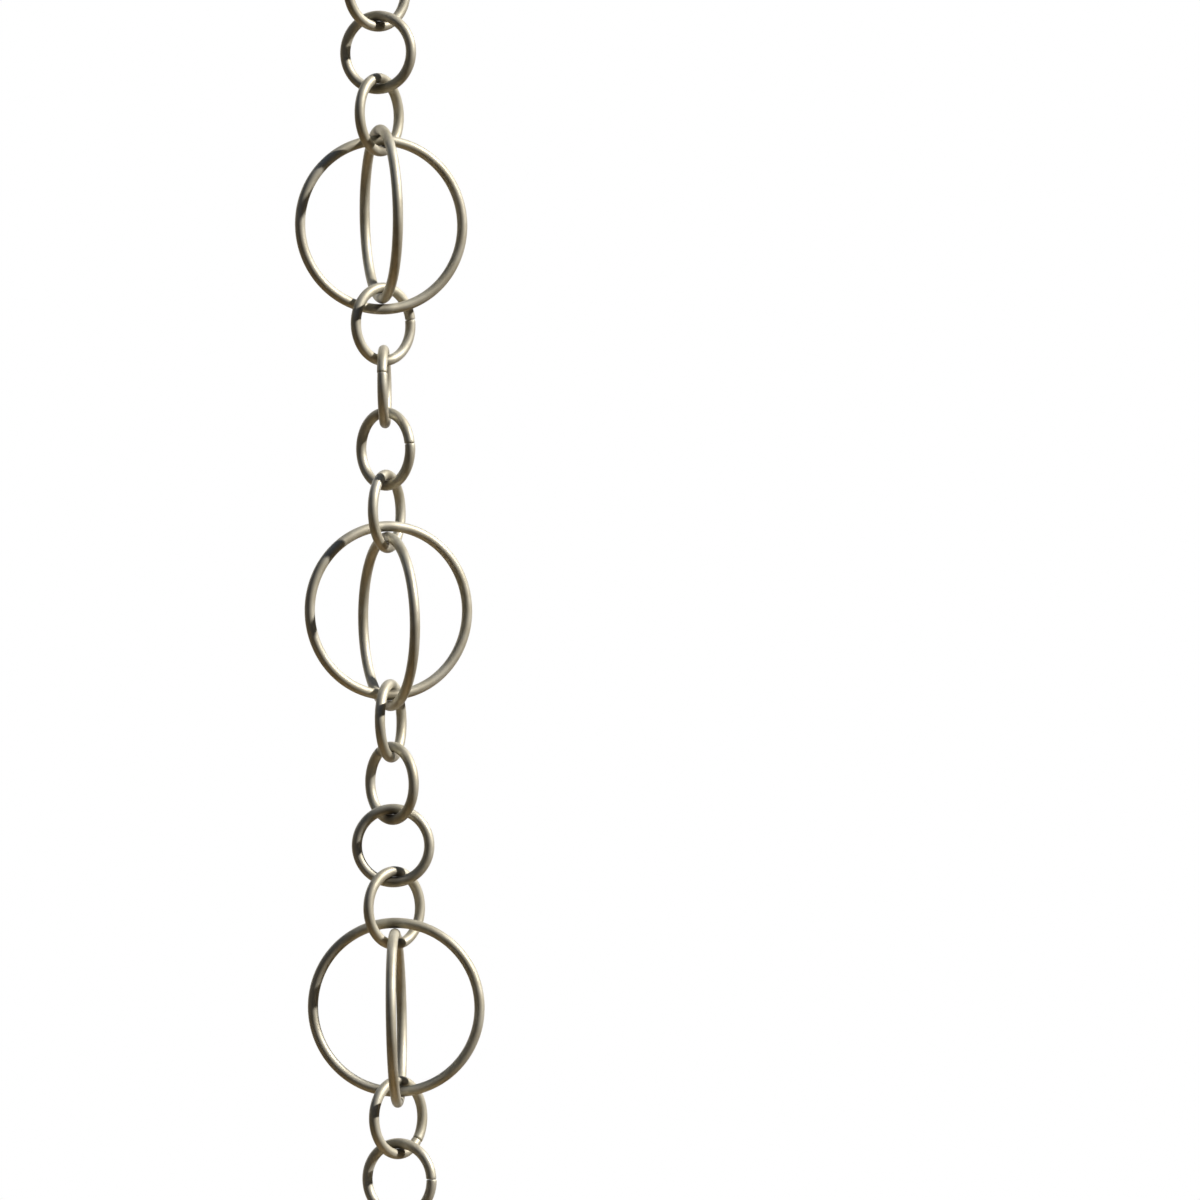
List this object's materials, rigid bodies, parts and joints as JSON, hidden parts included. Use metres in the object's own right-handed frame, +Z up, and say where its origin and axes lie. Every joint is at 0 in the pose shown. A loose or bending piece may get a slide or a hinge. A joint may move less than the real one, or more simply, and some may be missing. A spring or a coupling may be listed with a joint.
{
  "type": "rain chain",
  "caption": "Hanging rain chain of round metal wire: large hoops crossed into open globes and linked by runs of small butted rings, to lead rain down from a gutter.",
  "frame": {"origin": "highest point inside the eye of the top ring, where the gutter hook carries the chain", "axes": "+Z up along the hanging chain, +X to the right of the front view, +Y away from it"},
  "size_m": [0.103, 0.104, 0.8477],
  "materials": {
    "drawn_wire": "satin drawn wire, lightly dulled outdoors"
  },
  "bodies": {
    "link_ring_01": {"link_ring_01": "drawn_wire"},
    "link_ring_02": {"link_ring_02": "drawn_wire"},
    "link_ring_03": {"link_ring_03": "drawn_wire"},
    "link_ring_04": {"link_ring_04": "drawn_wire"},
    "globe_1_lower_hoop": {"globe_1_lower_hoop": "drawn_wire"},
    "globe_1_upper_hoop": {"globe_1_upper_hoop": "drawn_wire"},
    "link_ring_05": {"link_ring_05": "drawn_wire"},
    "link_ring_06": {"link_ring_06": "drawn_wire"},
    "link_ring_07": {"link_ring_07": "drawn_wire"},
    "link_ring_08": {"link_ring_08": "drawn_wire"},
    "globe_2_lower_hoop": {"globe_2_lower_hoop": "drawn_wire"},
    "globe_2_upper_hoop": {"globe_2_upper_hoop": "drawn_wire"},
    "link_ring_09": {"link_ring_09": "drawn_wire"},
    "link_ring_10": {"link_ring_10": "drawn_wire"},
    "link_ring_11": {"link_ring_11": "drawn_wire"},
    "link_ring_12": {"link_ring_12": "drawn_wire"},
    "globe_3_lower_hoop": {"globe_3_lower_hoop": "drawn_wire"},
    "globe_3_upper_hoop": {"globe_3_upper_hoop": "drawn_wire"},
    "link_ring_13": {"link_ring_13": "drawn_wire"},
    "link_ring_14": {"link_ring_14": "drawn_wire"},
    "link_ring_15": {"link_ring_15": "drawn_wire"},
    "link_ring_16": {"link_ring_16": "drawn_wire"}
  },
  "joints": [
    {"name": "link_ring_02_swing", "type": "hinge", "parent": "link_ring_01", "child": "link_ring_02", "pos_m": [0, 0, -0.0395], "axis": [0, 1, 0], "range_deg": [-60, 60]},
    {"name": "link_ring_03_swing", "type": "hinge", "parent": "link_ring_02", "child": "link_ring_03", "pos_m": [0, 0, -0.0757], "axis": [-0.766, -0.6428, 0], "range_deg": [-60, 60]},
    {"name": "link_ring_04_swing", "type": "hinge", "parent": "link_ring_03", "child": "link_ring_04", "pos_m": [0, 0, -0.1119], "axis": [0.9063, -0.4226, 0], "range_deg": [-60, 60]},
    {"name": "globe_1_lower_hoop_swing", "type": "hinge", "parent": "link_ring_04", "child": "globe_1_lower_hoop", "pos_m": [0, 0, -0.1481], "axis": [-0.515, -0.8572, 0], "range_deg": [-40, 40]},
    {"name": "globe_1_upper_hoop_turn", "type": "hinge", "parent": "globe_1_lower_hoop", "child": "globe_1_upper_hoop", "pos_m": [0, 0, -0.1845], "axis": [0, 0, 1], "range_deg": [0, 70]},
    {"name": "link_ring_05_swing", "type": "hinge", "parent": "globe_1_upper_hoop", "child": "link_ring_05", "pos_m": [0, 0, -0.2335], "axis": [-0.2164, 0.9763, 0], "range_deg": [-18, 18]},
    {"name": "link_ring_06_swing", "type": "hinge", "parent": "link_ring_05", "child": "link_ring_06", "pos_m": [0, 0, -0.2697], "axis": [0.7314, 0.682, 0], "range_deg": [-60, 60]},
    {"name": "link_ring_07_swing", "type": "hinge", "parent": "link_ring_06", "child": "link_ring_07", "pos_m": [0, 0, -0.3059], "axis": [-0.0349, -0.9994, 0], "range_deg": [-60, 60]},
    {"name": "link_ring_08_swing", "type": "hinge", "parent": "link_ring_07", "child": "link_ring_08", "pos_m": [0, 0, -0.3421], "axis": [0.682, -0.7314, 0], "range_deg": [-60, 60]},
    {"name": "globe_2_lower_hoop_swing", "type": "hinge", "parent": "link_ring_08", "child": "globe_2_lower_hoop", "pos_m": [0, 0, -0.3783], "axis": [-0.3584, -0.9336, 0], "range_deg": [-35, 35]},
    {"name": "globe_2_upper_hoop_turn", "type": "hinge", "parent": "globe_2_lower_hoop", "child": "globe_2_upper_hoop", "pos_m": [0, 0, -0.4147], "axis": [0, 0, 1], "range_deg": [-70, 5]},
    {"name": "link_ring_09_swing", "type": "hinge", "parent": "globe_2_upper_hoop", "child": "link_ring_09", "pos_m": [0, 0, -0.4637], "axis": [-0.9239, -0.3827, 0], "range_deg": [-25, 25]},
    {"name": "link_ring_10_swing", "type": "hinge", "parent": "link_ring_09", "child": "link_ring_10", "pos_m": [0, 0, -0.4999], "axis": [0.2756, 0.9613, 0], "range_deg": [-60, 60]},
    {"name": "link_ring_11_swing", "type": "hinge", "parent": "link_ring_10", "child": "link_ring_11", "pos_m": [0, 0, -0.5361], "axis": [-0.6088, 0.7934, 0], "range_deg": [-60, 60]},
    {"name": "link_ring_12_swing", "type": "hinge", "parent": "link_ring_11", "child": "link_ring_12", "pos_m": [0, 0, -0.5723], "axis": [0.9914, -0.1305, 0], "range_deg": [-60, 60]},
    {"name": "globe_3_lower_hoop_swing", "type": "hinge", "parent": "link_ring_12", "child": "globe_3_lower_hoop", "pos_m": [0, 0, -0.6085], "axis": [-0.6884, -0.7254, 0], "range_deg": [-40, 40]},
    {"name": "globe_3_upper_hoop_turn", "type": "hinge", "parent": "globe_3_lower_hoop", "child": "globe_3_upper_hoop", "pos_m": [0, 0, -0.6449], "axis": [0, 0, 1], "range_deg": [-60, 5]},
    {"name": "link_ring_13_swing", "type": "hinge", "parent": "globe_3_upper_hoop", "child": "link_ring_13", "pos_m": [0, 0, -0.6939], "axis": [-0.989, 0.1478, 0], "range_deg": [-25, 25]},
    {"name": "link_ring_14_swing", "type": "hinge", "parent": "link_ring_13", "child": "link_ring_14", "pos_m": [0, 0, -0.7301], "axis": [0.6428, 0.766, 0], "range_deg": [-60, 60]},
    {"name": "link_ring_15_swing", "type": "hinge", "parent": "link_ring_14", "child": "link_ring_15", "pos_m": [0, 0, -0.7663], "axis": [-0.8829, 0.4695, 0], "range_deg": [-60, 60]},
    {"name": "link_ring_16_swing", "type": "hinge", "parent": "link_ring_15", "child": "link_ring_16", "pos_m": [0, 0, -0.8025], "axis": [0.342, 0.9397, 0], "range_deg": [-60, 60]}
  ]
}
